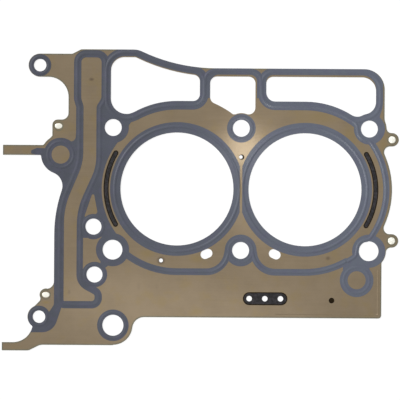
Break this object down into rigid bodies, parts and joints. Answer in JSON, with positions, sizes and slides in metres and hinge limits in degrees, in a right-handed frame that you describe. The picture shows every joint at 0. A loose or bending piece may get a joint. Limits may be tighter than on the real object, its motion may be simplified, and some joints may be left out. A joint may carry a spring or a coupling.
{
  "type": "cylinder head gasket",
  "caption": "Flat layered steel gasket for a two-cylinder head, with beaded bore rims, printed rubber seal lines, coolant windows and riveted lobes.",
  "frame": {"origin": "midway between the two bore centres, on the underside of the lower layer", "axes": "+X along the bank, away from the timing cover; +Y towards the side with the three large windows; +Z from the cylinder block to the head"},
  "size_m": [0.3362, 0.2561, 0.0012],
  "materials": {
    "tan_coating": "satin tan coating on steel sheet",
    "black_coating": "matt black coating on steel sheet",
    "print_rubber": "satin blue-grey printed rubber",
    "rivet_steel": "bright polished heads"
  },
  "bodies": {
    "root": {"head_side_layer": "tan_coating", "block_side_layer": "black_coating", "seal_print": "print_rubber", "rivet_timing_side_upper": "rivet_steel", "rivet_timing_side_lower": "rivet_steel", "rivet_flywheel_side_upper": "rivet_steel", "rivet_flywheel_side_lower": "rivet_steel"}
  },
  "joints": []
}
